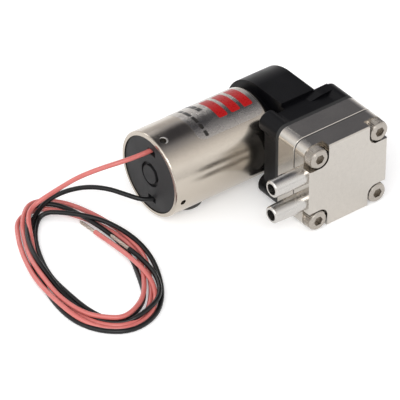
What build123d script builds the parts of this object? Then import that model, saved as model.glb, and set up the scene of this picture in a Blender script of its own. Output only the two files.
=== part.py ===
from build123d import *
from math import cos, pi, radians, sin, sqrt, tan
import os

# Diaphragm vacuum pump, sizes in millimetres.
# It is laid out on the motor axis: X runs along the motor from its rear cap to the crank,
# the pump head faces -Y, Z is up and X = 0 is the middle of the crank and of the head.
# At the end every piece moves to the row frame, whose origin is under the middle of the box
# round the pump (leads left out), on the surface that it stands on.

# ---- head -----------------------------------------------------------------------------
# The square plates stand on the same surface as the foot, so their side comes from the motor.
plate_corner = 3.0            # corner radius, and the head screws' distance from the sides
plate_chamfer = 0.3
cover_thickness = 6.7
valve_plate_thickness = 6.5
head_seat_y = 17.65           # crankcase front face, from the motor axis
screw_diameter = 3.0
screw_clearance = 0.2         # round the shank, on the radius
screw_head_diameter = 5.5
screw_head_height = 3.0
screw_head_chamfer = 0.3
screw_length = 18.0
screw_hex = 2.5
screw_hex_depth = 1.4
screw_head_proud = 0.25       # the heads stand this far out of the cover's front face
pocket_margin = 0.45          # between a screw head and the sides of its corner pocket
pocket_fillet = 2.6

# ---- hose barbs -----------------------------------------------------------------------
barb_diameter = 5.1
barb_land = 0.05              # between a barb and the corner pocket beside it
barb_reach = 10.0             # length outside the cover
barb_taper_length = 4.3
barb_tip_diameter = 4.75
barb_bore = 3.2
barb_spigot_diameter = 4.0    # thinner end pressed into the cover
barb_spigot_length = 5.0
barb_tip_chamfer = 0.25

# ---- valves ---------------------------------------------------------------------------
valve_x = -2.5
valve_thickness = 0.5
valve_lift = 0.5
valve_port = 2.2
vent_diameter = 1.0
valve_clearance = 0.3         # between a disc and the side of its pocket
seat_land = 0.5               # between that pocket and the seal round it
seal_section = 0.8
seal_gap = 0.5                # between the two seals
seal_squeeze = 0.1
seal_clearance = 0.05

# ---- diaphragm ------------------------------------------------------------------------
rim_thickness = 1.15
web_thickness = 0.8
working_diameter = 19.0       # free part of the diaphragm
clamp_diameter = 9.0
clamp_thickness = 1.0
bowl_floor_diameter = 12.6
bowl_clearance = 0.7          # left between clamp disc and bowl at the top of the stroke
fold_depth = 0.45             # rolled fold between clamp and rim
clamp_round = 0.4

# ---- crank ----------------------------------------------------------------------------
eccentricity = 1.0            # half the stroke
shaft_diameter = 2.0
shaft_chamfer = 0.2
crank_pin_diameter = 5.0
bearing_outside = 9.0
bearing_width = 3.0
ring_thickness = 0.5
ball_count = 7
hub_diameter = 7.0
hub_length = 2.0
shoulder_diameter = 6.0
shoulder_length = 0.3
crank_gap = 0.4               # between the hub and the motor wall
pin_overrun = 0.3
set_screw_diameter = 1.6
set_screw_hex = 0.7
set_screw_sunk = 0.2
counterweight_radius = 9.0
counterweight_thickness = 1.7
counterweight_neck = 5.25     # half the width where the counterweight meets its hub
counterweight_step = 0.6
counterweight_back = 1.2
rod_ring_wall = 1.5
rod_width = 4.0
rod_foot_thickness = 1.4
rod_gusset = 3.0
clamp_screw_diameter = 2.0
clamp_screw_head = 3.8
clamp_screw_length = 6.0
slot_width = 0.5              # driver slots of the countersunk screws
screwdriver_depth = 0.4
hole_run_out = 0.5            # drilled past the end of a screw

# ---- crankcase ------------------------------------------------------------------------
chamber_proud = 0.2           # the chamber is this much rounder than the plates are high
chamber_wall = 1.6
motor_wall = 1.3
cover_disc_thickness = 1.2
cover_seat = 0.6
cover_chamfer = 0.25
cover_lip_height = 0.8
cover_lip_wall = 1.15
mount_ring_height = 1.4
mount_ring_step = 0.1         # the ring is this much inside the can's front rounding
seat_length = 5.7             # square seat behind the diaphragm
seat_inset = 0.8              # its sides stand this far inside the plates
seat_round = 2.5              # where a screw boss runs into its sides
seat_floor = 1.0
neck_length = 1.65            # between that seat and the chamber's flats
rib_start_x = 2.0             # ribs from the chamber to the two far bosses
rib_crown_x = 6.0
rib_drop = 0.1                # the crown is this much below the boss
rib_depth = 4.0
rib_lap = 1.2                 # how far a rib runs on over the seat
boss_end = 0.65               # solid end of a screw boss
boss_round = 0.6
rod_window_height = 14.0
tapped_clearance = 0.03

# ---- motor ----------------------------------------------------------------------------
can_radius = 12.1
can_wall = 1.1
can_length = 34.1
can_front_round = 1.5
can_rear_round = 0.45
can_hole_diameter = 1.65
can_hole_inset = 2.3
can_hole_angle = 14.5         # first hole, from the top towards the head
motor_screw_diameter = 2.0
motor_screw_head = 3.8
motor_screw_inset = 2.0       # from the edge of the mount ring
motor_screw_length = 5.0
hole_clearance = 0.1
housing_clearance = 0.05
front_boss_diameter = 6.2
front_boss_length = 1.9
bush_diameter = 5.0
bush_length = 2.4
bush_sunk = 0.4
shaft_clearance = 0.3
cap_recess = 0.25
cap_face_thickness = 1.9
cap_round = 0.3
cap_skirt_wall = 1.2
cap_skirt_length = 2.4
cap_boss_diameter = 5.4
cap_boss_proud = 0.2
cap_groove_width = 0.95
cap_groove_depth = 0.8
cap_hub_wall = 1.1
cap_blind_end = 1.35
slot_length = 3.2
slot_height = 1.7
slot_offset = 0.75            # the slots sit off centre, towards the head
slot_depth = 1.0
slot_radius_out = 7.5
magnet_thickness = 2.3
magnet_overhang = 3.0         # past the core, at each end
magnet_span = 125.0
air_gap = 0.4
stack_inset = 9.0             # from the can's front wall to the core
pole_count = 5
pole_width = 2.2
pole_shoe_thickness = 1.0
pole_gap_angle = 14.0
core_radius = 3.0
winding_clearance = 0.1
winding_root = 0.3
winding_flank = 34.0
coil_overhang = 1.4
coil_width = 1.1
commutator_diameter = 5.2
commutator_length = 3.0
commutator_slit = 0.3
commutator_slit_depth = 0.4
commutator_ring = 0.5         # left whole behind the slits
commutator_gap = 1.2          # between windings and commutator
end_play = 0.6                # between the commutator and the cap's hub
brush_width = 2.0
brush_height = 1.5
arm_thickness = 0.3
arm_width = 1.6
arm_post = 1.6
arm_lead_in = 0.4
running_clearance = 0.02
fit_clearance = 0.02

# ---- foot and leads -------------------------------------------------------------------
foot_under_can = 0.9          # rubber between the can's lowest line and the surface
foot_diameter = 10.4
foot_inset = 11.0             # from the can's rear rim
foot_round = 0.3
lead_diameter = 1.3
coil_height = 3.3
coil_band = 6.2

# ---- derived places -------------------------------------------------------------------
stand_height = can_radius + foot_under_can
half_plate = stand_height
half_pitch = half_plate - plate_corner
seat_half = half_plate - seat_inset
pocket_side = half_pitch - screw_head_diameter / 2 - pocket_margin
half_barb_pitch = pocket_side - barb_land - barb_diameter / 2
seal_mean_diameter = 2 * half_barb_pitch - seal_section - seal_gap
valve_pocket_diameter = seal_mean_diameter - seal_section - 2 * seat_land
valve_diameter = valve_pocket_diameter - 2 * valve_clearance
half_bearing = bearing_width / 2
hub_front_x = -half_bearing - shoulder_length
hub_rear_x = hub_front_x - hub_length
cavity_rear_x = hub_rear_x - crank_gap
half_chamber = motor_wall - cavity_rear_x
chamber_radius = stand_height + chamber_proud
cavity_radius = chamber_radius - chamber_wall
cavity_front_x = half_chamber - cover_disc_thickness
cover_disc_radius = cavity_radius + cover_seat
flat_length = head_seat_y - seat_length - neck_length
case_front_y = -head_seat_y
rim_front_y = case_front_y - rim_thickness
split_y = rim_front_y - valve_plate_thickness
front_y = split_y - cover_thickness
barb_y = (split_y + front_y) / 2
screw_seat_y = front_y - screw_head_proud + screw_head_height
valve_pocket_depth = valve_thickness + valve_lift + fit_clearance
screw_tip_y = screw_seat_y + screw_length
boss_end_y = screw_tip_y + hole_run_out + boss_end
can_front_x = -half_chamber - mount_ring_height
can_rear_x = can_front_x - can_length
can_inside = can_radius - can_wall
cap_face_x = can_rear_x + cap_recess
cap_inner_x = cap_face_x + cap_face_thickness
bush_rear_x = cap_face_x - cap_boss_proud + cap_blind_end
magnet_radius = can_inside - magnet_thickness
armature_radius = magnet_radius - air_gap
cap_hub_end_x = bush_rear_x + bush_length
commutator_rear_x = cap_hub_end_x + end_play
commutator_front_x = commutator_rear_x + commutator_length
stack_rear_x = commutator_front_x + commutator_gap + coil_overhang
stack_front_x = can_front_x - can_wall - stack_inset
mount_ring_radius = can_radius - can_front_round - mount_ring_step
half_screw_circle = mount_ring_radius - motor_screw_inset
foot_x = can_rear_x + foot_inset
pin_y = eccentricity          # at rest the crank pin points away from the head
rest_web_y = (case_front_y + rim_front_y) / 2 + eccentricity
foot_front_y = rest_web_y + web_thickness / 2
clamp_back_y = rest_web_y - web_thickness / 2
clamp_front_y = clamp_back_y - clamp_thickness
bowl_floor_y = clamp_front_y - 2 * eccentricity - bowl_clearance
corners = [(x * half_pitch, z * half_pitch) for x in (-1, 1) for z in (-1, 1)]


def along_x(radius, start, end, y=0.0, z=0.0):
    """Round bar along X."""
    bar = Cylinder(radius, end - start, align=(Align.CENTER, Align.CENTER, Align.MIN))
    return Pos(start, y, z) * Rot(0, 90, 0) * bar


def along_y(radius, start, end, x=0.0, z=0.0):
    """Round bar along Y, from the smaller y to the larger."""
    bar = Cylinder(radius, end - start, align=(Align.CENTER, Align.CENTER, Align.MIN))
    return Pos(x, start, z) * Rot(-90, 0, 0) * bar


def cone_y(radius_start, radius_end, start, end, x=0.0, z=0.0):
    """Cone along Y, radius_start at the smaller y."""
    cone = Cone(radius_start, radius_end, end - start, align=(Align.CENTER, Align.CENTER, Align.MIN))
    return Pos(x, start, z) * Rot(-90, 0, 0) * cone


def cone_x(radius_start, radius_end, start, end, y=0.0, z=0.0):
    """Cone along X, radius_start at the smaller x."""
    cone = Cone(radius_start, radius_end, end - start, align=(Align.CENTER, Align.CENTER, Align.MIN))
    return Pos(start, y, z) * Rot(0, 90, 0) * cone


def block(x0, x1, y0, y1, z0, z1):
    """Box between two corners."""
    return Pos((x0 + x1) / 2, (y0 + y1) / 2, (z0 + z1) / 2) * Box(x1 - x0, y1 - y0, z1 - z0)


def plate(start, end):
    """Square plate with round corners between two y planes."""
    outline = RectangleRounded(2 * half_plate, 2 * half_plate, plate_corner)
    return extrude(Plane.XZ.offset(-end) * outline, end - start)


def screw_holes(start, end, clearance):
    return [along_y(screw_diameter / 2 + clearance, start, end, x, z) for x, z in corners]


# ---- head -----------------------------------------------------------------------------
def make_head_cover():
    body = plate(front_y, split_y)
    body = chamfer(body.edges().group_by(Axis.Y)[0], plate_chamfer)
    body = chamfer(body.edges().group_by(Axis.Y)[-1], plate_chamfer)
    for x, z in corners:
        sx, sz = (1 if x > 0 else -1), (1 if z > 0 else -1)
        reach = half_plate + 1 - pocket_side
        outline = Rectangle(reach, reach)
        inner = outline.vertices().sort_by_distance((-sx * reach, -sz * reach, 0))[0]
        outline = fillet(inner, pocket_fillet)
        middle = pocket_side + reach / 2
        pocket = extrude(outline, screw_seat_y - front_y + 1)
        body -= Pos(sx * middle, screw_seat_y, sz * middle) * Rot(90, 0, 0) * pocket
    body -= screw_holes(front_y, split_y, screw_clearance)
    vent_reach = valve_diameter / 2
    bore_end = valve_x + vent_reach + vent_diameter / 2
    for side in (1, -1):
        z = side * half_barb_pitch
        mouth = -half_plate + barb_spigot_length
        body -= along_x(barb_spigot_diameter / 2 + fit_clearance, -half_plate, mouth, barb_y, z)
        body -= along_x(barb_bore / 2, mouth, bore_end, barb_y, z)
    # inlet: one port down to the seat; outlet: a pocket for the disc and two vents
    body -= along_y(valve_port / 2, barb_y, split_y, valve_x, half_barb_pitch)
    pocket_floor = split_y - valve_pocket_depth
    body -= along_y(valve_pocket_diameter / 2, pocket_floor, split_y, valve_x, -half_barb_pitch)
    for x in (valve_x - vent_reach, valve_x + vent_reach):
        body -= along_y(vent_diameter / 2, barb_y, pocket_floor, x, -half_barb_pitch)
    return body


def make_valve_plate():
    body = plate(split_y, rim_front_y)
    body = chamfer(body.edges().group_by(Axis.Y)[0], plate_chamfer)
    body -= screw_holes(split_y, rim_front_y, screw_clearance)
    body -= cone_y(bowl_floor_diameter / 2, working_diameter / 2, bowl_floor_y, rim_front_y)
    # inlet: a pocket for the disc, with vents half outside its edge; outlet: one port
    pocket_floor = split_y + valve_pocket_depth
    body -= along_y(valve_pocket_diameter / 2, split_y, pocket_floor, valve_x, half_barb_pitch)
    vent_reach = valve_diameter / 2
    for turn in (0, 120, 240):
        x = valve_x + vent_reach * cos(radians(turn))
        z = half_barb_pitch + vent_reach * sin(radians(turn))
        body -= along_y(vent_diameter / 2, pocket_floor, bowl_floor_y, x, z)
    body -= along_y(valve_port / 2, split_y, bowl_floor_y, valve_x, -half_barb_pitch)
    for side in (1, -1):
        body -= seal_ring(side, seal_section / 2 + seal_clearance)
    return body


def seal_ring(side, half_width):
    """Square-section ring round a valve port, sunk in the valve plate."""
    x, z = valve_x, side * half_barb_pitch
    middle = seal_mean_diameter / 2
    bottom = split_y + seal_section - seal_squeeze
    ring = along_y(middle + half_width, split_y, bottom, x, z)
    return ring - along_y(middle - half_width, split_y, bottom, x, z)


def make_port_seals():
    return [seal_ring(side, seal_section / 2) for side in (1, -1)]


def make_inlet_valve():
    return along_y(valve_diameter / 2, split_y, split_y + valve_thickness, valve_x, half_barb_pitch)


def make_outlet_valve():
    return along_y(valve_diameter / 2, split_y - valve_thickness, split_y, valve_x, -half_barb_pitch)


def make_barb(side):
    z = side * half_barb_pitch
    root = -half_plate
    tip = root - barb_reach
    tube = along_x(barb_diameter / 2, tip + barb_taper_length, root, barb_y, z)
    tube += cone_x(barb_tip_diameter / 2, barb_diameter / 2, tip, tip + barb_taper_length, barb_y, z)
    tube += along_x(barb_spigot_diameter / 2, root, root + barb_spigot_length, barb_y, z)
    tube -= along_x(barb_bore / 2, tip, root + barb_spigot_length, barb_y, z)
    tip_edges = tube.edges().filter_by(GeomType.CIRCLE).group_by(Axis.X)[0]
    return chamfer(tip_edges.sort_by(SortBy.RADIUS)[-1], barb_tip_chamfer)


def make_head_screws():
    top_y = screw_seat_y - screw_head_height
    head = along_y(screw_head_diameter / 2, top_y, screw_seat_y)
    head = chamfer(head.edges().filter_by(GeomType.CIRCLE).group_by(Axis.Y)[0], screw_head_chamfer)
    shank = along_y(screw_diameter / 2, screw_seat_y, screw_tip_y)
    hexagon = RegularPolygon(screw_hex / 2, 6, major_radius=False)
    socket = Pos(0, top_y + screw_hex_depth, 0) * Rot(90, 0, 0) * extrude(hexagon, screw_hex_depth)
    screw = head + shank - socket
    return [Pos(x, 0, z) * screw for x, z in corners]


# ---- diaphragm and rod ----------------------------------------------------------------
def make_diaphragm():
    rim = plate(rim_front_y, case_front_y) - along_y(working_diameter / 2, rim_front_y, case_front_y)
    rim -= screw_holes(rim_front_y, case_front_y, screw_clearance)
    # the web is pulled back to the clamp, with a rolled convolution between
    outer = working_diameter / 2
    inner = clamp_diameter / 2
    rim_mid = (case_front_y + rim_front_y) / 2
    half = web_thickness / 2
    fold = (outer + inner) / 2
    dip = rest_web_y + fold_depth
    top = ThreePointArc((inner, rest_web_y + half), (fold, dip + half), (outer, rim_mid + half))
    bottom = ThreePointArc((inner, rest_web_y - half), (fold, dip - half), (outer, rim_mid - half))
    axis_top = Line((0, rest_web_y + half), (inner, rest_web_y + half))
    axis_bottom = Line((0, rest_web_y - half), (inner, rest_web_y - half))
    close_out = Line((outer, rim_mid + half), (outer, rim_mid - half))
    close_in = Line((0, rest_web_y + half), (0, rest_web_y - half))
    web = revolve(make_face([top, bottom, axis_top, axis_bottom, close_out, close_in]), Axis.Y)
    hole = clamp_screw_diameter / 2 + hole_clearance
    return rim + web - along_y(hole, clamp_back_y, foot_front_y)


def make_clamp_disc():
    disc = along_y(clamp_diameter / 2, clamp_front_y, clamp_back_y)
    disc = fillet(disc.edges().filter_by(GeomType.CIRCLE).group_by(Axis.Y)[0], clamp_round)
    disc -= clamp_screw_cone(fit_clearance)
    return disc - along_y(clamp_screw_diameter / 2 + hole_clearance, clamp_front_y, clamp_back_y)


def clamp_screw_cone(grow):
    """Countersunk head of the clamp screw."""
    head_height = (clamp_screw_head - clamp_screw_diameter) / 2
    wide = clamp_screw_head / 2 + grow
    narrow = clamp_screw_diameter / 2 + grow
    return cone_y(wide, narrow, clamp_front_y, clamp_front_y + head_height)


def make_clamp_screw():
    slot_floor = clamp_front_y + screwdriver_depth
    screw = clamp_screw_cone(0)
    screw += along_y(clamp_screw_diameter / 2, slot_floor, clamp_front_y + clamp_screw_length)
    half = slot_width / 2
    return screw - block(-half, half, clamp_front_y, slot_floor, -clamp_screw_head, clamp_screw_head)


def make_connecting_rod():
    ring_radius = bearing_outside / 2 + rod_ring_wall
    rod = along_x(ring_radius, -half_bearing, half_bearing, pin_y)
    foot = along_y(clamp_diameter / 2, foot_front_y, foot_front_y + rod_foot_thickness)
    half_arm = rod_width / 2
    arm = block(-half_bearing, half_bearing, foot_front_y, pin_y, -half_arm, half_arm)
    rod += arm + foot
    # a gusset widens the arm towards the ring
    root = ring_radius * 0.8
    gusset_y = pin_y - ring_radius - rod_gusset
    gusset = Polygon((pin_y, root), (gusset_y, half_arm), (gusset_y, -half_arm), (pin_y, -root),
                     align=None)
    rod += Pos(-half_bearing, 0, 0) * extrude(Plane.YZ * gusset, bearing_width)
    rod -= along_x(bearing_outside / 2 + fit_clearance, -half_bearing, half_bearing, pin_y)
    tip_y = clamp_front_y + clamp_screw_length + hole_run_out
    return rod - along_y(clamp_screw_diameter / 2 + tapped_clearance, foot_front_y, tip_y)


# ---- crank ----------------------------------------------------------------------------
def ring_x(outer, inner, start, end, y=0.0):
    return along_x(outer, start, end, y) - along_x(inner, start, end, y)


def make_eccentric():
    hub = along_x(hub_diameter / 2, hub_rear_x, hub_front_x)
    shoulder = along_x(shoulder_diameter / 2, hub_front_x, -half_bearing, pin_y)
    pin_end = half_bearing + pin_overrun
    pin = along_x(crank_pin_diameter / 2, -half_bearing, pin_end, pin_y)
    body = hub + shoulder + pin
    body -= along_x(shaft_diameter / 2 + fit_clearance, hub_rear_x, pin_end)
    middle = (hub_rear_x + hub_front_x) / 2
    hole = set_screw_diameter / 2 + fit_clearance
    return body - along_y(hole, 0, hub_diameter, middle)


def make_set_screw():
    middle = (hub_rear_x + hub_front_x) / 2
    start = shaft_diameter / 2 + fit_clearance
    end = hub_diameter / 2 - set_screw_sunk
    screw = along_y(set_screw_diameter / 2, start, end, middle)
    socket = RegularPolygon(set_screw_hex / 2, 6, major_radius=False)
    return screw - Pos(middle, end, 0) * Rot(90, 0, 0) * extrude(socket, set_screw_hex)


def make_counterweight():
    start = hub_rear_x + (hub_length - counterweight_thickness) / 2
    end = start + counterweight_thickness
    disc = along_x(counterweight_radius, start, end)
    reach = counterweight_radius + 1
    disc -= block(start, end, hub_diameter / 2 - counterweight_back, reach, -reach, reach)
    for side in (1, -1):
        low, high = sorted((side * counterweight_neck, side * reach))
        disc -= block(start, end, -counterweight_step, reach, low, high)
    return disc - along_x(hub_diameter / 2 + fit_clearance, start, end)


def make_bearing_inner():
    outer = crank_pin_diameter / 2 + ring_thickness
    inner = crank_pin_diameter / 2 + fit_clearance
    return ring_x(outer, inner, -half_bearing, half_bearing, pin_y)


def make_bearing_outer():
    outer = bearing_outside / 2
    return ring_x(outer, outer - ring_thickness, -half_bearing, half_bearing, pin_y)


def make_bearing_balls():
    inner = crank_pin_diameter / 2 + ring_thickness
    outer = bearing_outside / 2 - ring_thickness
    radius = (outer - inner) / 2 - fit_clearance
    middle = (outer + inner) / 2
    # each ball is drawn with 26 flat faces
    ball = chamfer(Box(2 * radius, 2 * radius, 2 * radius).edges(), (2 - sqrt(2)) * radius)
    turns = [360 * k / ball_count for k in range(ball_count)]
    return [Pos(0, pin_y, 0) * Rot(t, 0, 0) * Pos(0, middle, 0) * ball for t in turns]


# ---- crankcase ------------------------------------------------------------------------
def seat_block(start, end):
    """Square seat whose sunk sides swell smoothly into a round boss at each corner."""
    reach = plate_corner + seat_round
    rise = seat_half + seat_round - half_pitch
    run = sqrt(reach ** 2 - rise ** 2)
    share = plate_corner / reach
    side_end = half_pitch - run
    touch = (half_pitch - run * share, half_pitch + rise * share)
    far = half_pitch + plate_corner * cos(radians(45))
    quarter = Line((0, seat_half), (side_end, seat_half))
    quarter += TangentArc((side_end, seat_half), touch, tangent=(1, 0))
    quarter += ThreePointArc(touch, (far, far), (touch[1], touch[0]))
    quarter += TangentArc((seat_half, side_end), (touch[1], touch[0]), tangent=(0, 1))
    quarter += Line((seat_half, side_end), (seat_half, 0))
    upper = quarter + mirror(quarter, Plane.YZ)
    outline = make_face(upper + mirror(upper, Plane.XZ))
    return extrude(Plane.XZ.offset(-end) * outline, end - start)


def far_ribs(start, end):
    """Ribs above and below, from the chamber to the two bosses away from the motor."""
    root = half_plate - rib_depth
    profile = Polygon((rib_start_x, root), (half_pitch, root), (half_pitch, half_plate),
                      (rib_crown_x, half_plate - rib_drop), (rib_start_x, seat_half), align=None)
    rib = extrude(Plane.XZ.offset(-end) * profile, end - start)
    return rib + mirror(rib, Plane.XY)


def make_crankcase():
    body = along_x(chamber_radius, -half_chamber, half_chamber)
    body += block(-half_chamber, half_chamber, -flat_length, 0, -chamber_radius, chamber_radius)
    seat_back = case_front_y + seat_length
    body += block(-half_chamber, half_chamber, seat_back, -flat_length, -seat_half, seat_half)
    body += seat_block(case_front_y, seat_back)
    for x, z in corners:
        boss = along_y(plate_corner, case_front_y, boss_end_y, x, z)
        body += fillet(boss.edges().filter_by(GeomType.CIRCLE).group_by(Axis.Y)[-1], boss_round)
    body += far_ribs(seat_back - rib_lap, boss_end_y)
    # the underside is cut level with the surface that the pump stands on
    deep = stand_height + chamber_radius
    body -= block(-deep, deep, case_front_y, deep, -deep, -stand_height)
    body += along_x(mount_ring_radius, can_front_x, -half_chamber)
    # inside: crank cavity, cover seat, rod window, space behind the diaphragm
    body -= along_x(cavity_radius, cavity_rear_x, half_chamber)
    body -= along_x(cover_disc_radius, cavity_front_x, half_chamber)
    half_window = rod_window_height / 2
    recess_floor = seat_back - seat_floor
    body -= block(cavity_rear_x, -cavity_rear_x, recess_floor, 0, -half_window, half_window)
    body -= along_y(working_diameter / 2, case_front_y, recess_floor)
    body -= screw_holes(case_front_y, screw_tip_y + hole_run_out, tapped_clearance)
    body -= along_x(front_boss_diameter / 2 + hole_clearance, can_front_x, cavity_rear_x)
    for z in (half_screw_circle, -half_screw_circle):
        hole = motor_screw_diameter / 2 + hole_clearance
        body -= along_x(hole, can_front_x, cavity_rear_x, 0, z)
        body -= motor_screw_cone(z, fit_clearance)
    return body


def motor_screw_cone(z, grow):
    """Countersunk head, flush with the crank cavity's wall."""
    height = (motor_screw_head - motor_screw_diameter) / 2
    narrow = motor_screw_diameter / 2 + grow
    wide = motor_screw_head / 2 + grow
    return cone_x(narrow, wide, cavity_rear_x - height, cavity_rear_x, 0, z)


def make_motor_screws():
    screws = []
    slot_floor = cavity_rear_x - screwdriver_depth
    half = slot_width / 2
    for z in (half_screw_circle, -half_screw_circle):
        screw = motor_screw_cone(z, 0)
        screw += along_x(motor_screw_diameter / 2, cavity_rear_x - motor_screw_length, slot_floor, 0, z)
        low, high = z - motor_screw_head, z + motor_screw_head
        screws.append(screw - block(slot_floor, cavity_rear_x, -half, half, low, high))
    return screws


def make_crankcase_cover():
    disc = along_x(cover_disc_radius - fit_clearance, cavity_front_x, half_chamber)
    disc = chamfer(disc.edges().filter_by(GeomType.CIRCLE).group_by(Axis.X)[-1], cover_chamfer)
    lip_radius = cavity_radius - housing_clearance
    lip_start = cavity_front_x - cover_lip_height
    return disc + ring_x(lip_radius, lip_radius - cover_lip_wall, lip_start, cavity_front_x)


# ---- motor ----------------------------------------------------------------------------
def make_motor_can():
    can = along_x(can_radius, can_rear_x, can_front_x)
    circles = can.edges().filter_by(GeomType.CIRCLE).group_by(Axis.X)
    can = fillet(circles[-1], can_front_round)
    can = fillet(can.edges().filter_by(GeomType.CIRCLE).group_by(Axis.X)[0], can_rear_round)
    can -= along_x(can_inside, can_rear_x, can_front_x - can_wall)
    can += along_x(front_boss_diameter / 2, can_front_x, can_front_x + front_boss_length)
    can -= along_x(bush_diameter / 2 + fit_clearance, can_front_x - can_wall, bush_front_x())
    shaft_hole = shaft_diameter / 2 + shaft_clearance
    can -= along_x(shaft_hole, can_front_x - can_wall, can_front_x + front_boss_length)
    hole = Cylinder(can_hole_diameter / 2, can_wall * 3)
    out = can_radius - can_wall / 2
    for k in range(4):
        turn = can_hole_angle + 90 * k
        place = Rot(turn, 0, 0) * Pos(can_rear_x + can_hole_inset, 0, out)
        can -= place * hole
    radius = motor_screw_diameter / 2 + tapped_clearance
    for z in (half_screw_circle, -half_screw_circle):
        can -= along_x(radius, can_front_x - can_wall, can_front_x, 0, z)
    return can


def bush_front_x():
    return can_front_x + front_boss_length - bush_sunk


def make_front_bush():
    front = bush_front_x()
    return ring_x(bush_diameter / 2, shaft_diameter / 2 + running_clearance, front - bush_length, front)


def make_rear_bush():
    outer, inner = bush_diameter / 2, shaft_diameter / 2 + running_clearance
    return ring_x(outer, inner, bush_rear_x, bush_rear_x + bush_length)


def make_rear_cap():
    outer = can_inside - housing_clearance
    cap = along_x(outer, cap_face_x, cap_inner_x)
    cap = fillet(cap.edges().filter_by(GeomType.CIRCLE).group_by(Axis.X)[0], cap_round)
    cap += ring_x(outer, outer - cap_skirt_wall, cap_inner_x, cap_inner_x + cap_skirt_length)
    boss_radius = cap_boss_diameter / 2
    cap += along_x(boss_radius, cap_face_x - cap_boss_proud, cap_face_x)
    groove_radius = boss_radius + cap_groove_width
    cap -= ring_x(groove_radius, boss_radius, cap_face_x, cap_face_x + cap_groove_depth)
    cap += along_x(bush_diameter / 2 + cap_hub_wall, cap_inner_x, cap_hub_end_x)
    cap -= along_x(bush_diameter / 2 + fit_clearance, bush_rear_x, cap_hub_end_x)
    for side in (1, -1):
        z = side * slot_radius_out
        half = slot_length / 2
        y = -slot_offset
        cap -= block(cap_face_x, cap_face_x + slot_depth, y - half, y + half,
                     z - slot_height / 2, z + slot_height / 2)
    return cap


def make_magnets():
    start, end = stack_rear_x - magnet_overhang, stack_front_x + magnet_overhang
    ring = ring_x(can_inside - housing_clearance, magnet_radius, start, end)
    half = radians(magnet_span / 2)
    reach = can_radius * 2
    wedge = Polygon((0, 0), (reach * cos(half), -reach * sin(half)), (reach, 0),
                    (reach * cos(half), reach * sin(half)), align=None)
    sector = Pos(start, 0, 0) * extrude(Plane.YZ * wedge, end - start)
    return [ring & sector, ring & (Rot(180, 0, 0) * sector)]


def make_shaft():
    shaft = along_x(shaft_diameter / 2, bush_rear_x + shaft_chamfer, half_bearing)
    return chamfer(shaft.edges().filter_by(GeomType.CIRCLE), shaft_chamfer)


def make_armature_core():
    body = Circle(core_radius)
    shoe = Circle(armature_radius) - Circle(armature_radius - pole_shoe_thickness)
    half = radians(360 / pole_count - pole_gap_angle) / 2
    reach = armature_radius * 1.6
    wedge = Polygon((0, 0), (reach * cos(half), reach * sin(half)),
                    (reach * cos(half), -reach * sin(half)), align=None)
    for k in range(pole_count):
        turn = Rot(0, 0, 360 * k / pole_count + 90)
        arm_length = armature_radius - pole_shoe_thickness / 2
        body += turn * (Pos(arm_length / 2, 0) * Rectangle(arm_length, pole_width))
        body += turn * (shoe & wedge)
    body -= Circle(shaft_diameter / 2 + fit_clearance)
    return Pos(stack_rear_x, 0, 0) * extrude(Plane.YZ * body, stack_front_x - stack_rear_x)


def make_windings():
    start, end = stack_rear_x - coil_overhang, stack_front_x + coil_overhang
    inner = core_radius + winding_root
    wide = pole_width / 2 + coil_width
    outer = sqrt((armature_radius - pole_shoe_thickness) ** 2 - wide ** 2) - winding_clearance
    coil = block(start, end, inner, outer, -wide, wide)
    coil = fillet(coil.edges().filter_by(Axis.Y), coil_width * 0.9)
    gap = fit_clearance
    window = pole_width / 2 + gap
    coil -= block(stack_rear_x - gap, stack_front_x + gap, inner, outer, -window, window)
    reach = armature_radius * 2
    flare = reach * tan(radians(winding_flank))
    flank = Polygon((0, 0), (reach, -flare), (reach, flare), align=None)
    coil &= Pos(start, 0, 0) * extrude(Plane.YZ * flank, end - start)
    return [Rot(360 * k / pole_count + 90, 0, 0) * coil for k in range(pole_count)]


def make_commutator():
    body = ring_x(commutator_diameter / 2, shaft_diameter / 2 + fit_clearance,
                  commutator_rear_x, commutator_front_x)
    for k in range(pole_count):
        slit = block(commutator_rear_x, commutator_front_x - commutator_ring,
                     commutator_diameter / 2 - commutator_slit_depth, commutator_diameter,
                     -commutator_slit / 2, commutator_slit / 2)
        body -= Rot(360 * k / pole_count, 0, 0) * slit
    return body


def brush_ends():
    start = commutator_diameter / 2 + running_clearance
    return start, start + brush_height


def make_brushes():
    low, high = brush_ends()
    middle = (commutator_rear_x + commutator_front_x) / 2
    half = brush_width / 2
    brush = block(middle - half, middle + half, -half, half, low, high)
    return [brush, Rot(180, 0, 0) * brush]


def make_brush_arms():
    low, high = brush_ends()
    middle = (commutator_rear_x + commutator_front_x) / 2
    half = brush_width / 2
    near = high + arm_thickness / 2
    path = Polyline((cap_inner_x, slot_radius_out), (cap_inner_x + arm_post, slot_radius_out),
                    (middle - half - arm_lead_in, near), (middle + half, near))
    strip = extrude(Plane.XZ * trace(path, arm_thickness), arm_width / 2, both=True)
    strip &= block(cap_inner_x, middle + half, -arm_width, arm_width, high, can_inside)
    return [strip, Rot(180, 0, 0) * strip]


# ---- foot -----------------------------------------------------------------------------
def make_foot():
    foot_radius = foot_diameter / 2
    top = -sqrt(can_radius ** 2 - foot_radius ** 2)
    foot = Cylinder(foot_radius, stand_height + top, align=(Align.CENTER, Align.CENTER, Align.MIN))
    foot = fillet(foot.edges().filter_by(GeomType.CIRCLE).group_by(Axis.Z)[0], foot_round)
    foot = Pos(foot_x, 0, -stand_height) * foot
    return foot - along_x(can_radius + fit_clearance, foot_x - foot_diameter, foot_x + foot_diameter)


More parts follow.
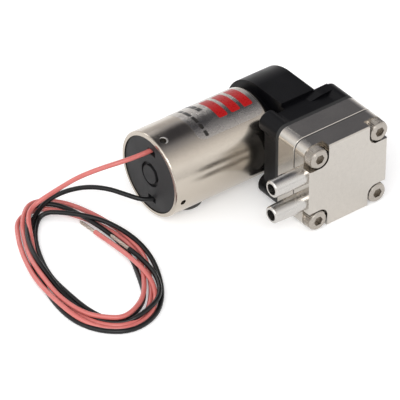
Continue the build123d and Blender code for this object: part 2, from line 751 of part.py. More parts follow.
# ---- leads ----------------------------------------------------------------------------
# Each lead leaves its slot, drops to the surface and joins the loose coil.
slot_floor_x = cap_face_x + slot_depth
red_route = [(slot_floor_x, 0.1, 7.5), (-44.0, 0.1, 7.5), (-48.6, 1.1, 7.1), (-53.6, 4.0, 5.4),
             (-57.6, 8.6, 1.6), (-60.0, 13.2, -3.4), (-62.2, 16.9, -7.7), (-65.6, 18.0, -10.2),
             (-69.0, 16.0, -11.2)]
black_route = [(slot_floor_x - 0.2, -1.2, -7.5), (-42.3, -0.65, -7.35), (-44.25, 1.0, -6.9),
               (-46.2, 3.75, -6.3), (-48.6, 7.7, -5.8), (-51.6, 12.0, -6.3), (-54.9, 15.6, -7.8),
               (-58.6, 17.8, -9.4), (-62.6, 17.9, -10.6), (-66.2, 16.1, -11.3)]
# Outline of the coil's outer side, seen from above.
coil_outline = [(-55.0, 20.5), (-62.5, 26.0), (-74.5, 18.5), (-82.0, -6.0), (-84.2, -28.0),
                (-74.0, -38.5), (-58.0, -34.5), (-50.2, -10.0)]


def corner_radii(points):
    """Largest arc at each corner of an open run of points."""
    radii = []
    for before, here, after in zip(points, points[1:], points[2:]):
        turn = (here - before).get_angle(after - here)
        shorter = min((here - before).length, (after - here).length)
        radii.append(0.45 * shorter / tan(radians(turn) / 2))
    return radii


def tube(route, name):
    """Tube of straight runs joined by arcs, each as large as its two runs allow."""
    points = [Vector(*p) for p in route]
    radii = corner_radii(points)
    path = FilletPolyline(*points, radius=radii)
    section = pi * (lead_diameter / 2) ** 2
    solid = sweep(Plane(path @ 0, z_dir=path % 0) * Circle(lead_diameter / 2), path=path)
    print(name, "length", round(path.length, 2), "radii", [round(r, 1) for r in radii],
          "volume ratio", round(solid.volume / (section * path.length), 4))
    return solid


def make_lead_coil():
    """Closed solid of the outer shape of the coil, with its open middle."""
    points = [Vector(*p) for p in coil_outline]
    radii = corner_radii([points[-1]] + points + [points[0]])
    outer = make_face(FilletPolyline(*points, radius=radii, close=True))
    inner = offset(outer, -coil_band, kind=Kind.ARC)
    ring = extrude(outer - inner, coil_height)
    return Pos(0, 0, -stand_height) * ring


# ---- write ----------------------------------------------------------------------------
def row_shift():
    """From the motor axis to the middle of the pump's box, on its standing surface."""
    middle_x = (can_rear_x + half_plate) / 2
    middle_y = (front_y - screw_head_proud + chamber_radius) / 2
    return Pos(-middle_x, -middle_y, stand_height)


pieces = {
    "head_cover": make_head_cover,
    "valve_plate": make_valve_plate,
    "port_seals": make_port_seals,
    "inlet_valve": make_inlet_valve,
    "outlet_valve": make_outlet_valve,
    "inlet_barb": lambda: make_barb(1),
    "outlet_barb": lambda: make_barb(-1),
    "head_screws": make_head_screws,
    "diaphragm": make_diaphragm,
    "clamp_disc": make_clamp_disc,
    "clamp_screw": make_clamp_screw,
    "connecting_rod": make_connecting_rod,
    "eccentric": make_eccentric,
    "set_screw": make_set_screw,
    "counterweight": make_counterweight,
    "bearing_inner": make_bearing_inner,
    "bearing_balls": make_bearing_balls,
    "bearing_outer": make_bearing_outer,
    "crankcase": make_crankcase,
    "crankcase_cover": make_crankcase_cover,
    "motor_screws": make_motor_screws,
    "motor_can": make_motor_can,
    "front_bush": make_front_bush,
    "rear_bush": make_rear_bush,
    "rear_cap": make_rear_cap,
    "field_magnets": make_magnets,
    "motor_shaft": make_shaft,
    "armature_core": make_armature_core,
    "armature_windings": make_windings,
    "commutator": make_commutator,
    "carbon_brushes": make_brushes,
    "brush_arms": make_brush_arms,
    "rubber_foot": make_foot,
    "red_lead": lambda: tube(red_route, "red_lead"),
    "black_lead": lambda: tube(black_route, "black_lead"),
    "lead_coil": make_lead_coil,
}

os.makedirs("parts", exist_ok=True)
shift = row_shift()
for name, make in pieces.items():
    made = make()
    solids = made if isinstance(made, list) else [made]
    flat = []
    for piece in solids:
        flat += (shift * piece).solids()
    shape = flat[0] if len(flat) == 1 else Compound(children=flat)
    shape.label = name
    export_step(shape, f"parts/{name}.step")
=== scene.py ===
import math

import bmesh
import bpy
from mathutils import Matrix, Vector


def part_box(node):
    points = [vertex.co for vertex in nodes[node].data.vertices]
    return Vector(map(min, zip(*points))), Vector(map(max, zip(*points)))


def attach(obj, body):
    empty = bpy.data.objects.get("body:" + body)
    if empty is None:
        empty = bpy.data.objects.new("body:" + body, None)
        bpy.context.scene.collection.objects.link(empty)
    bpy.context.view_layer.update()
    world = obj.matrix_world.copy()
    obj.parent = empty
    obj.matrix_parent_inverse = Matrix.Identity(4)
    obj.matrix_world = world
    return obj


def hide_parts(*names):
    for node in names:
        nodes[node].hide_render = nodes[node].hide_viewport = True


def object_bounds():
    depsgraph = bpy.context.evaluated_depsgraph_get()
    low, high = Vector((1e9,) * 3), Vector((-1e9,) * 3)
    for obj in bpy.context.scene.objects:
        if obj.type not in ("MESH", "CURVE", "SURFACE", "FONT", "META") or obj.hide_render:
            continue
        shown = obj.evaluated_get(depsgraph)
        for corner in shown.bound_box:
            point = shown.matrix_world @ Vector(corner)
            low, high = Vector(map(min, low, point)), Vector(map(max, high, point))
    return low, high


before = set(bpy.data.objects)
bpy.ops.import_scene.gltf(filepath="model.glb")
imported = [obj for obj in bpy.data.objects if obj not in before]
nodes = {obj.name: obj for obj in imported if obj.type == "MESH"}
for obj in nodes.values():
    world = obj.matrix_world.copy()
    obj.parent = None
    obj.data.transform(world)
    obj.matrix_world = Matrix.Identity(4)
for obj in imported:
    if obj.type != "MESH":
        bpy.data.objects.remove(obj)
cadLow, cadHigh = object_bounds()

# The pump is laid out from the motor axis, below the middle of the head, in millimetres.
mm = 0.001
canLow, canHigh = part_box("motor_can")
coverLow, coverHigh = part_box("head_cover")
origin = Vector(((coverLow.x + coverHigh.x) / 2, (canLow.y + canHigh.y) / 2, (canLow.z + canHigh.z) / 2))


def at(x, y, z):
    return origin + Vector((x, y, z)) * mm


def toLinear(hexColor):
    channels = [int(hexColor[i:i + 2], 16) / 255 for i in (1, 3, 5)]
    return [c / 12.92 if c < 0.04045 else ((c + 0.055) / 1.055) ** 2.4 for c in channels] + [1.0]


def addNode(material, kind, settings=None, inputs=None):
    # an input that is another node's socket is linked, any other value is set
    node = material.node_tree.nodes.new(kind)
    for key, value in (settings or {}).items():
        setattr(node, key, value)
    for key, value in (inputs or {}).items():
        if isinstance(value, bpy.types.NodeSocket):
            material.node_tree.links.new(value, node.inputs[key])
        else:
            node.inputs[key].default_value = value
    return node


def newMaterial(name):
    material = bpy.data.materials.new(name)
    material.use_nodes = True
    material.node_tree.nodes.clear()
    return material


def closeMaterial(material, shader):
    out = addNode(material, "ShaderNodeOutputMaterial")
    material.node_tree.links.new(shader.outputs[0], out.inputs["Surface"])
    return material


def millimetres(material, stretch=(1, 1, 1)):
    # object coordinates are metres, so this gives patterns their size in millimetres
    place = addNode(material, "ShaderNodeTexCoord")
    scale = [s / mm for s in stretch]
    return addNode(material, "ShaderNodeMapping", {"vector_type": "POINT"},
                   {"Vector": place.outputs["Object"], "Scale": scale}).outputs["Vector"]


def addObject(name, data):
    placed = bpy.data.objects.new(name, data)
    bpy.context.scene.collection.objects.link(placed)
    return placed


# Camera: a long lens from behind the motor, above the pump. Target, distance, lens and sensor are in
# millimetres, nearest and farthest in metres.
camera = {"azimuth": -37.191, "elevation": 37.478, "target": (-23.3, 1.4, -17.4), "distance": 906.0,
          "lens": 305.4, "sensor": 36, "nearest": 0.05, "farthest": 20}
azimuth, elevation = math.radians(camera["azimuth"]), math.radians(camera["elevation"])
back = Vector((math.sin(azimuth) * math.cos(elevation), -math.cos(azimuth) * math.cos(elevation),
               math.sin(elevation)))
cameraObject = addObject("camera", bpy.data.cameras.new("camera"))
cameraObject.location = at(*camera["target"]) + back * camera["distance"] * mm
cameraObject.rotation_mode = "QUATERNION"
cameraObject.rotation_quaternion = (-back).to_track_quat("-Z", "Y")
cameraObject.data.lens = camera["lens"]
cameraObject.data.sensor_width = camera["sensor"]
cameraObject.data.clip_start = camera["nearest"]
cameraObject.data.clip_end = camera["farthest"]
bpy.context.scene.camera = cameraObject

# Studio: a white light tent over a white table, with a dark gap overhead toward the back.
studio = {
    "floorSize": 6.0, "floorColor": "#F4F4F4", "floorGlow": 0.24,
    "gapToward": (0.48, 0.38, 0.79), "strength": 1.32,
    # how bright the tent is, from far away from the gap to its middle
    "tent": [(0.0, "#E6E6E6"), (0.24, "#FFFFFF"), (0.50, "#ECEAE8"), (0.73, "#BDBBBB"),
             (0.89, "#8B8B90"), (0.975, "#3C3C41")],
}
# place and size in metres, power in watts
lamps = {
    "frontLamp": {"place": (-0.42, -0.52, 0.60), "size": (0.40, 0.32), "power": 2.2},
    "leftLamp": {"place": (-0.65, -0.10, 0.35), "size": (0.45, 0.35), "power": 0.9},
    "backLamp": {"place": (0.10, 0.75, 0.55), "size": (0.60, 0.30), "power": 1.2},
}
scene = bpy.context.scene
scene.view_settings.view_transform = "Standard"

floorMesh = bpy.data.meshes.new("tableTop")
half = studio["floorSize"] / 2
floorCorners = [(-half, -half, 0), (half, -half, 0), (half, half, 0), (-half, half, 0)]
floorMesh.from_pydata(floorCorners, [], [(0, 1, 2, 3)])
tableTop = addObject("tableTop", floorMesh)

# White painted table: the glow only lifts what the camera and shiny metal see to white.
paint = newMaterial("white_painted_table")
rays = addNode(paint, "ShaderNodeLightPath")
seen = addNode(paint, "ShaderNodeMath", {"operation": "MAXIMUM"},
               {0: rays.outputs["Is Camera Ray"], 1: rays.outputs["Is Glossy Ray"]})
seenToo = addNode(paint, "ShaderNodeMath", {"operation": "MAXIMUM"},
                  {0: seen.outputs[0], 1: rays.outputs["Is Transmission Ray"]})
glow = addNode(paint, "ShaderNodeMath", {"operation": "MULTIPLY"},
               {0: seenToo.outputs[0], 1: studio["floorGlow"]})
matt = addNode(paint, "ShaderNodeBsdfDiffuse", None, {"Color": toLinear(studio["floorColor"])})
light = addNode(paint, "ShaderNodeEmission", None, {"Strength": glow.outputs[0]})
both = addNode(paint, "ShaderNodeAddShader", None, {0: matt.outputs[0], 1: light.outputs[0]})
tableTop.data.materials.append(closeMaterial(paint, both))

world = bpy.data.worlds.new("studioWorld")
scene.world = world
world.use_nodes = True
world.node_tree.nodes.clear()
direction = addNode(world, "ShaderNodeTexCoord")
towardGap = addNode(world, "ShaderNodeVectorMath", {"operation": "DOT_PRODUCT"},
                    {0: direction.outputs["Generated"], 1: Vector(studio["gapToward"]).normalized()})
tent = addNode(world, "ShaderNodeValToRGB", None, {0: towardGap.outputs["Value"]})
stops = tent.color_ramp.elements
while len(stops) < len(studio["tent"]):
    stops.new(0.5)
for stop, (position, color) in zip(stops, studio["tent"]):
    stop.position, stop.color = position, toLinear(color)
sky = addNode(world, "ShaderNodeBackground", None,
              {"Color": tent.outputs[0], "Strength": studio["strength"]})
worldOut = addNode(world, "ShaderNodeOutputWorld")
world.node_tree.links.new(sky.outputs[0], worldOut.inputs["Surface"])

for name, lamp in lamps.items():
    data = bpy.data.lights.new(name, "AREA")
    data.shape = "RECTANGLE"
    data.size, data.size_y = lamp["size"]
    data.energy = lamp["power"]
    lampObject = addObject(name, data)
    lampObject.location = lamp["place"]
    lampObject.rotation_mode = "QUATERNION"
    lampObject.rotation_quaternion = (-Vector(lamp["place"])).to_track_quat("-Z", "Y")
print("camera and studio")


# Sizes in the surface values are millimetres: grain and cloud are pattern widths, depth is the bump's.
# The grain of ground metal, moulded plastic and rubber is too fine to show, so it is drawn coarser.
noiseRange = (0.3, 0.7)  # a noise pattern mostly stays inside this


def metalSurface(name, values):
    # polished or ground metal: fine marks of its making change the gloss and tilt the surface a little
    material = newMaterial(name)
    vector = millimetres(material, values.get("stretch", (1, 1, 1)))
    grain = addNode(material, "ShaderNodeTexNoise", None,
                    {"Vector": vector, "Scale": 1 / values["grain"], "Detail": 3.0, "Roughness": 0.6})
    cloud = addNode(material, "ShaderNodeTexNoise", None,
                    {"Vector": millimetres(material), "Scale": 1 / values["cloud"], "Detail": 2.0})
    gloss = addNode(material, "ShaderNodeMapRange", None,
                    {"Value": cloud.outputs[0], "From Min": noiseRange[0], "From Max": noiseRange[1],
                     "To Min": values["roughness"] - values["spread"],
                     "To Max": values["roughness"] + values["spread"]})
    tone = addNode(material, "ShaderNodeMix", {"data_type": "RGBA"},
                   {"Factor": grain.outputs[0], "A": toLinear(values["dark"]),
                    "B": toLinear(values["light"])})
    bump = addNode(material, "ShaderNodeBump", None,
                   {"Height": grain.outputs[0], "Strength": values["bump"],
                    "Distance": values["depth"] * mm})
    shader = addNode(material, "ShaderNodeBsdfPrincipled", None,
                     {"Base Color": tone.outputs["Result"], "Metallic": 1.0,
                      "Roughness": gloss.outputs[0], "Normal": bump.outputs[0]})
    return closeMaterial(material, shader)


def plasticSurface(name, values):
    # moulded plastic or rubber: the mould's grain gives a broken, soft highlight
    material = newMaterial(name)
    vector = millimetres(material)
    grain = addNode(material, "ShaderNodeTexNoise", None,
                    {"Vector": vector, "Scale": 1 / values["grain"], "Detail": 4.0, "Roughness": 0.65})
    cloud = addNode(material, "ShaderNodeTexNoise", None,
                    {"Vector": vector, "Scale": 1 / values["cloud"], "Detail": 2.0})
    tone = addNode(material, "ShaderNodeMix", {"data_type": "RGBA"},
                   {"Factor": cloud.outputs[0], "A": toLinear(values["dark"]),
                    "B": toLinear(values["light"])})
    gloss = addNode(material, "ShaderNodeMapRange", None,
                    {"Value": cloud.outputs[0], "From Min": noiseRange[0], "From Max": noiseRange[1],
                     "To Min": values["roughness"] - values["spread"],
                     "To Max": values["roughness"] + values["spread"]})
    bump = addNode(material, "ShaderNodeBump", None,
                   {"Height": grain.outputs[0], "Strength": values["bump"],
                    "Distance": values["depth"] * mm})
    shader = addNode(material, "ShaderNodeBsdfPrincipled", None,
                     {"Base Color": tone.outputs["Result"], "Roughness": gloss.outputs[0],
                      "IOR": values["ior"], "Specular IOR Level": values.get("specular", 0.5),
                      "Normal": bump.outputs[0]})
    return closeMaterial(material, shader)


# nickel-plated drawn steel: bright, warm, with a slightly soft mirror
nickel = metalSurface("nickel_plated_drawn_steel", {
    "dark": "#AEA69B", "light": "#CCC3B7", "roughness": 0.20, "spread": 0.04, "grain": 0.25,
    "cloud": 6.0, "bump": 0.05, "depth": 0.01})
# ground stainless steel, tumbled: even satin, with rounded bright edges
groundSteel = metalSurface("ground_stainless_steel", {
    "dark": "#B9B4AD", "light": "#C8C3BC", "roughness": 0.20, "spread": 0.02, "grain": 0.60,
    "cloud": 9.0, "bump": 0.02, "depth": 0.01})
# turned stainless steel: fine rings round the barbs
turnedSteel = metalSurface("turned_stainless_steel", {
    "dark": "#B4B1AD", "light": "#CFCCC8", "roughness": 0.27, "spread": 0.03, "grain": 0.16,
    "cloud": 3.0, "bump": 0.06, "depth": 0.01, "stretch": (4, 0.4, 0.4)})
# cold-headed stainless screws, a little duller than the plates
screwSteel = metalSurface("cold_headed_stainless_steel", {
    "dark": "#979088", "light": "#BDB7AF", "roughness": 0.26, "spread": 0.05, "grain": 0.18,
    "cloud": 2.0, "bump": 0.10, "depth": 0.01})
# ground and polished bearing steel: cool and mirror-like
bearingSteel = metalSurface("ground_bearing_steel", {
    "dark": "#A6A6A8", "light": "#C9C9CB", "roughness": 0.16, "spread": 0.03, "grain": 0.10,
    "cloud": 3.0, "bump": 0.08, "depth": 0.01})
# stacked core sheets: dark, with fine lines where their edges meet
coreSteel = metalSurface("laminated_core_steel", {
    "dark": "#4E4F55", "light": "#85868C", "roughness": 0.45, "spread": 0.05, "grain": 0.25,
    "cloud": 3.0, "bump": 0.30, "depth": 0.03, "stretch": (4, 0.1, 0.1)})
# stamped and sintered brass: warm, slightly dull
brass = metalSurface("stamped_brass", {
    "dark": "#A98644", "light": "#D2B06A", "roughness": 0.28, "spread": 0.05, "grain": 0.15,
    "cloud": 2.0, "bump": 0.12, "depth": 0.01})
# enamelled copper wire: red-brown, in fine ridges along the turns
copper = metalSurface("enamelled_copper_wire", {
    "dark": "#7E3A1E", "light": "#B8633A", "roughness": 0.30, "spread": 0.05, "grain": 0.22,
    "cloud": 2.0, "bump": 0.6, "depth": 0.05, "stretch": (0.15, 1, 1)})
# glass-filled PBT from a sparked mould: near black with a soft cool sheen
blackPlastic = plasticSurface("moulded_black_pbt", {
    "dark": "#050507", "light": "#0A0A0D", "roughness": 0.36, "spread": 0.05, "ior": 1.55,
    "specular": 0.12, "grain": 0.14, "cloud": 5.0, "bump": 0.25, "depth": 0.02})
# nylon from a matt mould: dark grey with a dull, even sheen
greyPlastic = plasticSurface("moulded_grey_nylon", {
    "dark": "#1B1B1C", "light": "#242425", "roughness": 0.50, "spread": 0.05, "ior": 1.53,
    "specular": 0.3, "grain": 0.14, "cloud": 5.0, "bump": 0.25, "depth": 0.02})
# nitrile rubber from a steel mould: black and nearly matt
rubber = plasticSurface("moulded_nitrile_rubber", {
    "dark": "#121212", "light": "#1D1D1D", "roughness": 0.60, "spread": 0.06, "ior": 1.52,
    "grain": 0.10, "cloud": 3.0, "bump": 0.30, "depth": 0.02})
# paler rubber of the foot: matt grey
footRubber = plasticSurface("moulded_grey_rubber", {
    "dark": "#3A3938", "light": "#4C4B49", "roughness": 0.62, "spread": 0.06, "ior": 1.52,
    "grain": 0.10, "cloud": 3.0, "bump": 0.30, "depth": 0.02})
# pressed carbon of the brushes: grainy, with a faint graphite gloss
carbon = plasticSurface("pressed_carbon", {
    "dark": "#16171A", "light": "#26272B", "roughness": 0.50, "spread": 0.08, "ior": 1.6, "grain": 0.08,
    "cloud": 1.0, "bump": 0.4, "depth": 0.02})
# sintered ferrite: dull dark grey with a rough grain
ferrite = plasticSurface("sintered_ferrite", {
    "dark": "#1E1F22", "light": "#303236", "roughness": 0.60, "spread": 0.06, "ior": 1.6, "grain": 0.12,
    "cloud": 3.0, "bump": 0.4, "depth": 0.03})
# extruded PVC sleeves: smooth along the wire, with a soft long highlight
redPvc = plasticSurface("extruded_red_pvc", {
    "dark": "#BC5D58", "light": "#CF7771", "roughness": 0.24, "spread": 0.04, "ior": 1.54,
    "grain": 0.35, "cloud": 5.0, "bump": 0.10, "depth": 0.02})
blackPvc = plasticSurface("extruded_black_pvc", {
    "dark": "#09090A", "light": "#101011", "roughness": 0.30, "spread": 0.04, "ior": 1.54,
    "specular": 0.3, "grain": 0.35, "cloud": 5.0, "bump": 0.10, "depth": 0.02})
# painted shade: a dull dark line that stands in for the shade in the groove between the plates
grooveShadeSurface = plasticSurface("painted_groove_shade", {
    "dark": "#121213", "light": "#1C1C1D", "roughness": 0.50, "spread": 0.05, "ior": 1.5, "grain": 0.2,
    "cloud": 3.0, "bump": 0.20, "depth": 0.02})
# tin over fine copper strands: pale grey metal, a little uneven
tinnedCopper = metalSurface("tinned_copper_strand", {
    "dark": "#B3A497", "light": "#E2D8CE", "roughness": 0.30, "spread": 0.06, "grain": 0.20,
    "cloud": 1.0, "bump": 0.20, "depth": 0.01})
# silvered film: its backing grain shows through as fine speckle
film = metalSurface("silvered_polyester_film", {
    "dark": "#A39E98", "light": "#D3CEC8", "roughness": 0.27, "spread": 0.06, "grain": 0.45,
    "cloud": 4.0, "bump": 1.0, "depth": 0.05})
# screened inks: thin and glossy, a little uneven in tone where the layer thins
redPrint = plasticSurface("screened_red_ink", {
    "dark": "#8C1113", "light": "#B41A1B", "roughness": 0.30, "spread": 0.05, "ior": 1.5,
    "specular": 0.3, "grain": 0.30, "cloud": 0.4, "bump": 0.40, "depth": 0.02})
darkPrint = plasticSurface("screened_dark_ink", {
    "dark": "#171513", "light": "#282522", "roughness": 0.35, "spread": 0.05, "ior": 1.5, "grain": 0.30,
    "cloud": 0.4, "bump": 0.40, "depth": 0.02})

finishes = {
    "head_cover": groundSteel, "valve_plate": groundSteel, "clamp_disc": groundSteel,
    "connecting_rod": groundSteel,
    "inlet_barb": turnedSteel, "outlet_barb": turnedSteel, "eccentric": turnedSteel,
    "head_screws": screwSteel, "motor_screws": screwSteel, "clamp_screw": screwSteel,
    "set_screw": screwSteel,
    "port_seals": rubber, "inlet_valve": rubber, "outlet_valve": rubber, "diaphragm": rubber,
    "rubber_foot": footRubber, "crankcase": blackPlastic, "crankcase_cover": blackPlastic,
    "rear_cap": greyPlastic, "motor_can": nickel,
    "front_bush": brass, "rear_bush": brass, "brush_arms": brass, "counterweight": brass,
    "commutator": copper, "armature_windings": copper, "armature_core": coreSteel,
    "field_magnets": ferrite, "carbon_brushes": carbon,
    "motor_shaft": bearingSteel, "bearing_inner": bearingSteel, "bearing_outer": bearingSteel,
    "bearing_balls": bearingSteel,
    "red_lead": redPvc, "black_lead": blackPvc, "lead_coil": blackPvc,
}
for name, finish in finishes.items():
    for materialSlot in nodes[name].material_slots:
        materialSlot.material = finish
print("finishes on", len(finishes), "frame pieces")


# Leads: each route leaves its slot in the rear cap, sinks to the table and runs on into the coil.
lead = {"diameter": 1.3, "slotFloor": -39.75, "tableWire": -12.35, "redBare": 6.3, "blackBare": 7.5,
        "strand": 0.32, "strands": 7, "strandSpacing": 1.02, "strandPoints": 16, "twist": 0.8,
        "strandRoot": 1.0, "strandStagger": 0.25, "sightX": 0.788, "sightY": 1.039}
redRoute = [(lead["slotFloor"], 0.1, 7.5), (-44.0, 0.1, 7.5), (-48.6, 1.1, 7.1), (-53.6, 4.0, 5.4),
            (-57.6, 8.6, 1.6), (-60.0, 13.2, -3.4), (-62.2, 16.9, -7.7), (-65.6, 18.0, -9.7),
            (-69.0, 16.0, -10.2)]
blackRoute = [(lead["slotFloor"] - 0.2, -1.2, -7.5), (-42.3, -0.65, -7.35), (-44.25, 1.0, -6.9),
              (-46.2, 3.75, -6.3), (-48.6, 7.7, -5.8), (-51.6, 12.0, -6.3), (-54.9, 15.6, -7.8),
              (-58.6, 17.8, -9.4), (-62.6, 17.9, -10.6), (-66.2, 16.1, -11.3)]
# Sixteen stations round the coil's middle line, counter-clockwise from above.
stations = [(-58.5, 16.5), (-63.5, 20.5), (-69.5, 17.5), (-74.0, 11.0), (-77.5, 3.0), (-79.8, -6.0),
            (-80.6, -15.0), (-80.3, -24.0), (-77.8, -30.5), (-73.0, -34.0), (-67.0, -33.0),
            (-61.5, -28.5), (-57.3, -21.5), (-54.6, -13.0), (-53.9, -4.0), (-55.5, 6.0)]
# How far outside (+) or inside (-) the middle line the wire passes each station, and its height there.
redTurns = [
    (-2.3, 1.15), (-1.45, 0.3), (-0.9, 0), (0.0, 0), (0.4, 0), (0.3, 0), (0.5, 0), (0.5, 0), (0.0, 0),
    (0.4, 0), (2.0, 0), (2.2, 0), (2.85, 0),
    (2.4, 0), (2.6, 1.3), (0.2, 1.25), (-0.3, 0), (-0.3, 1.25), (-0.7, 1.2), (-0.2, 1.2), (-1.2, 1.25),
    (-3.1, 1.2), (-3.2, 1.25), (-3.0, 1.25), (-1.9, 1.3), (-1.1, 0.4), (0.6, 0), (0.7, 0), (0.35, 0),
    (-1.6, 0), (-1.4, 0), (1.7, 0), (1.3, 0), (1.3, 0), (1.5, 0.6), (1.2, 1.3), (1.3, 1.1), (1.7, 0),
    (1.8, 0), (1.9, 0), (1.4, 0.8), (0.5, 1.6), (-1.6, 1.5), (-2.85, 0.5)]
blackTurns = [
    (-2.6, 0.8), (-1.7, 0), (-0.2, 0), (0.45, 0), (2.2, 0), (3.0, 0), (2.8, 0), (3.0, 0), (3.2, 0),
    (2.95, 0), (2.9, 0), (3.4, 0.5), (3.3, 1.3), (2.4, 2.1),
    (-2.4, 2.4), (-4.2, 1.0), (-3.8, 0), (-3.1, 0), (-2.75, 0), (-2.3, 0), (-2.7, 0), (-2.65, 0),
    (-2.3, 0), (-2.1, 0), (-1.9, 0), (-1.6, 0), (-2.4, 0), (-1.6, 0), (-0.7, 0), (0.2, 1.3),
    (0.9, 1.0), (1.1, 1.2), (-1.35, 1.25), (-1.25, 1.6), (-1.76, 1.8), (-2.26, 1.15), (-1.35, 0),
    (-1.3, 0), (-1.0, 0), (-0.8, 0), (-0.3, 1.5), (2.5, 1.4), (2.4, 1.2), (0.4, 1.2)]
redEnd = [(-57.5, 1.65, -12.2)]
blackEnd = [(-55.4, -10.5, -11.2)]


def coilPoints(first, turns):
    # a raised point is moved along the camera's line of sight, so the camera sees it at the same spot
    points = []
    for step, (across, raised) in enumerate(turns, start=first):
        here = stations[step % len(stations)]
        before, after = stations[(step - 1) % len(stations)], stations[(step + 1) % len(stations)]
        along = Vector((after[0] - before[0], after[1] - before[1])).normalized()
        points.append((here[0] + along.y * across - lead["sightX"] * raised,
                       here[1] - along.x * across - lead["sightY"] * raised,
                       lead["tableWire"] + raised))
    return points


def roundCurve(name, diameter, resolution, material):
    curve = bpy.data.curves.new(name, "CURVE")
    curve.dimensions = "3D"
    curve.bevel_depth = diameter / 2 * mm
    curve.bevel_resolution = resolution
    curve.materials.append(material)
    return curve


def wire(name, points, material):
    curve = roundCurve(name, lead["diameter"], 6, material)
    curve.use_fill_caps = True
    spline = curve.splines.new("NURBS")
    spline.points.add(len(points) - 1)
    for point, place in zip(spline.points, points):
        point.co = (*at(*place), 1)
    spline.order_u = 3
    spline.use_endpoint_u = True
    spline.resolution_u = 12
    return addObject(name, curve)


def wireLength(piece):
    # the spline's own line, without its thickness
    bare = piece.copy()
    bare.data = piece.data.copy()
    bare.data.bevel_depth = 0
    line = bpy.data.meshes.new_from_object(bare)
    places = [v.co.copy() for v in line.vertices]
    length = sum((b - a).length for a, b in zip(places, places[1:]))
    bpy.data.objects.remove(bare)
    return length, places


redWire = wire("red_wire", redRoute + coilPoints(3, redTurns) + redEnd, redPvc)
blackWire = wire("black_wire", blackRoute + coilPoints(2, blackTurns) + blackEnd, blackPvc)
redLength, redLine = wireLength(redWire)
blackLength, blackLine = wireLength(blackWire)


# Each bared end is seven fine tinned strands, twisted, that run on from the end of the wire.
def strands(name, line, bare):
    end, before = line[-1], line[-4]  # the last stretch gives the direction
    along = (end - before).normalized()
    side = along.cross(Vector((0, 0, 1))).normalized()
    up = side.cross(along)
    curve = roundCurve(name, lead["strand"], 2, tinnedCopper)
    curve.use_fill_caps = True
    for number in range(lead["strands"]):
        out = 0 if number == 0 else lead["strand"] * lead["strandSpacing"]
        spline = curve.splines.new("NURBS")
        spline.points.add(lead["strandPoints"] - 1)
        for step, point in enumerate(spline.points):
            share = step / (lead["strandPoints"] - 1)
            turn = math.tau * (number / (lead["strands"] - 1) + lead["twist"] * share)
            length = bare + lead["strandRoot"] - lead["strandStagger"] * (number % 3)
            reach = length * share - lead["strandRoot"]
            place = end + along * reach * mm + (side * math.cos(turn) + up * math.sin(turn)) * out * mm
            place.z = max(place.z, cadLow.z + lead["strand"] / 2 * mm)
            point.co = (*place, 1)
        spline.order_u = 3
        spline.use_endpoint_u = True
    piece = addObject(name, curve)
    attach(piece, "pump_body")
    return piece


redTip = strands("red_tip", redLine, lead["redBare"])
blackTip = strands("black_tip", blackLine, lead["blackBare"])
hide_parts("red_lead", "lead_coil")
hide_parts("black_lead")
for piece in (redWire, blackWire):
    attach(piece, "pump_body")
print("leads", round(redLength, 4), round(blackLength, 4))


def addPiece(name, mesh, material, smoothFaces=0):
    bmesh.ops.recalc_face_normals(mesh, faces=mesh.faces)
    data = bpy.data.meshes.new(name)
    mesh.to_mesh(data)
    mesh.free()
    data.materials.append(material)
    for polygon in data.polygons[:smoothFaces]:
        polygon.use_smooth = True
    piece = addObject(name, data)
    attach(piece, "pump_body")


# Label: a silvered film on the can, with plain bars instead of print. x runs along the can, turn is in
# degrees from its top towards the head.
canRadius = (canHigh.z - canLow.z) / 2 / mm
label = {
    "film": {"x": (-29.6, -8.4), "turn": (-58, 36), "corner": 2.2, "lift": 0.0, "thickness": 0.02},
    "redBar": {"turn": (-28, 18), "corner": 0.5, "lift": 0.015, "thickness": 0.02},
    "redBarsAt": [(-20.8, -17.9), (-16.7, -13.8), (-12.6, -9.7)],
    "darkBar": {"corner": 0.2, "lift": 0.015, "thickness": 0.02},
    "darkBarsAt": {(-23.9, -22.5): [(-47, -39), (-37, -31), (-29, -17), (-15, -6)],
                   (-27.3, -26.3): [(-30, -21), (-19, -4), (-2, 11), (14, 22), (25, 33)]},
    "rows": 40, "columns": 24,
}


def canPoint(mesh, radius, x, turn):
    return mesh.verts.new(at(x, -radius * math.sin(turn), radius * math.cos(turn)))


def canPatch(name, values, material):
    # a thin sheet with round corners, bent round the can
    rows, columns = label["rows"], label["columns"]
    inner, outer = canRadius + values["lift"], canRadius + values["lift"] + values["thickness"]
    (firstX, lastX), (firstTurn, lastTurn), corner = values["x"], values["turn"], values["corner"]
    mesh = bmesh.new()
    sheets = []
    for radius in (inner, outer):
        grid = []
        for row in range(rows + 1):
            share = 0.5 - 0.5 * math.cos(math.pi * row / rows)
            turn = math.radians(firstTurn + (lastTurn - firstTurn) * share)
            fromEdge = math.radians(lastTurn - firstTurn) * canRadius * min(share, 1 - share)
            inset = corner - math.sqrt(max(corner ** 2 - max(corner - fromEdge, 0) ** 2, 0))
            width = lastX - firstX - 2 * inset
            grid.append([canPoint(mesh, radius, firstX + inset + width * column / columns, turn)
                         for column in range(columns + 1)])
        sheets.append(grid)
    low, high = sheets
    for row in range(rows):
        for column in range(columns):
            mesh.faces.new([high[row][column], high[row + 1][column],
                            high[row + 1][column + 1], high[row][column + 1]])
            mesh.faces.new([low[row][column], low[row][column + 1],
                            low[row + 1][column + 1], low[row + 1][column]])
    rim = ([(0, c) for c in range(columns)] + [(r, columns) for r in range(rows)]
           + [(rows, c) for c in range(columns, 0, -1)] + [(r, 0) for r in range(rows, 0, -1)])
    for (r, c), (nextR, nextC) in zip(rim, rim[1:] + rim[:1]):
        side = mesh.faces.new([low[r][c], low[nextR][nextC], high[nextR][nextC], high[r][c]])
        for edge in side.edges:
            edge.smooth = False
    addPiece(name, mesh, material, 2 * rows * columns)


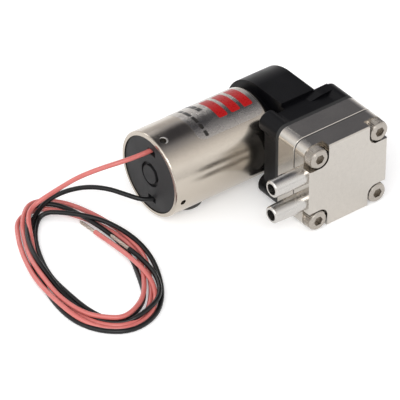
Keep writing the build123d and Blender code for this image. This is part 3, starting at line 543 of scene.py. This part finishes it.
canPatch("label_film", label["film"], film)
for number, x in enumerate(label["redBarsAt"]):
    canPatch("red_bar_%d" % number, {"x": x, **label["redBar"]}, redPrint)
for x, turns in label["darkBarsAt"].items():
    for turn in turns:
        canPatch("dark_bar_%d_%d" % (-x[0], turn[0] + 60), {"x": x, "turn": turn, **label["darkBar"]},
                 darkPrint)
print("label film and bars")

# The cold-headed screws are knurled round their sides, below a plain bright rim.
head = {"frontY": (coverLow.y - origin.y) / mm, "backY": (coverHigh.y - origin.y) / mm,
        "half": (coverHigh.z - coverLow.z) / 2 / mm, "pitch": 10.0}
knurls = {"radius": 2.72, "wall": 0.1, "ridge": 0.14, "ridges": 40, "from": 0.35, "to": 2.60}
knurl = bmesh.new()
for x in (-head["pitch"], head["pitch"]):
    for z in (-head["pitch"], head["pitch"]):
        loops = []
        for y, inner in ((knurls["from"], True), (knurls["from"], False), (knurls["to"], False),
                         (knurls["to"], True)):
            loop = []
            for step in range(2 * knurls["ridges"]):
                turn = math.pi * step / knurls["ridges"]
                radius = knurls["radius"] + (-knurls["wall"] if inner else knurls["ridge"] * (step % 2))
                loop.append(knurl.verts.new(at(x + radius * math.cos(turn), head["frontY"] + y,
                                               z + radius * math.sin(turn))))
            loops.append(loop)
        for first, second in zip(loops, loops[1:] + loops[:1]):
            for step in range(2 * knurls["ridges"]):
                after = (step + 1) % (2 * knurls["ridges"])
                knurl.faces.new([first[step], first[after], second[after], second[step]])
addPiece("screw_knurls", knurl, screwSteel)

# A dark line in the groove between the two plates is painted shade, standing in for the groove's shadow.
jointShadeLine = {"diameter": 0.34, "inset": 0.20, "corner": 2.80, "forward": 0.03, "stepDegrees": 15}
# this dark curve is painted shade in the joint groove, not a part of the pump
joint = roundCurve("painted_joint_shade_line", jointShadeLine["diameter"], 2, grooveShadeSurface)
jointShadeSpline = joint.splines.new("POLY")
straight = head["half"] - jointShadeLine["inset"] - jointShadeLine["corner"]
around = []
for quarter, (sideX, sideZ) in enumerate([(1, 1), (-1, 1), (-1, -1), (1, -1)]):
    for degrees in range(0, 91, jointShadeLine["stepDegrees"]):
        turn = math.radians(quarter * 90 + degrees)
        around.append((sideX * straight + jointShadeLine["corner"] * math.cos(turn),
                       sideZ * straight + jointShadeLine["corner"] * math.sin(turn)))
jointShadeSpline.points.add(len(around) - 1)
for point, (x, z) in zip(jointShadeSpline.points, around):
    point.co = (*at(x, head["backY"] - jointShadeLine["forward"], z), 1)
jointShadeSpline.use_cyclic_u = True
jointLine = addObject("painted_joint_shade_line", joint)
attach(jointLine, "pump_body")

# The punch left a bright raised crescent beside the upper hole of the can.
hole = {"fromEnd": 2.3, "turn": 14.5, "inner": 1.05, "width": 0.45, "from": -100, "to": 80, "sunk": 0.02,
        "lift": 0.06, "steps": 24, "hornFrom": 0.04, "hornSpan": 0.92}
holeX = (canLow.x - origin.x) / mm + hole["fromEnd"]
crescent = bmesh.new()
rows = []
for radius in (canRadius - hole["sunk"], canRadius + hole["lift"]):
    for edge in (0, 1):
        row = []
        for step in range(hole["steps"] + 1):
            share = step / hole["steps"]
            angle = math.radians(hole["from"] + (hole["to"] - hole["from"]) * share)
            # narrow at both horns
            swell = math.sin(math.pi * (hole["hornFrom"] + hole["hornSpan"] * share))
            out = hole["inner"] + edge * hole["width"] * swell
            row.append(canPoint(crescent, radius, holeX + out * math.cos(angle),
                                math.radians(hole["turn"]) + out * math.sin(angle) / canRadius))
        rows.append(row)
lowIn, lowOut, highIn, highOut = rows
for one, two in ((lowIn, lowOut), (lowOut, highOut), (highOut, highIn), (highIn, lowIn)):
    for step in range(hole["steps"]):
        crescent.faces.new([one[step], one[step + 1], two[step + 1], two[step]])
for end in (0, hole["steps"]):
    crescent.faces.new([lowIn[end], lowOut[end], highOut[end], highIn[end]])
addPiece("punched_crescent", crescent, turnedSteel, len(crescent.faces))
print("knurls, joint line, crescent")
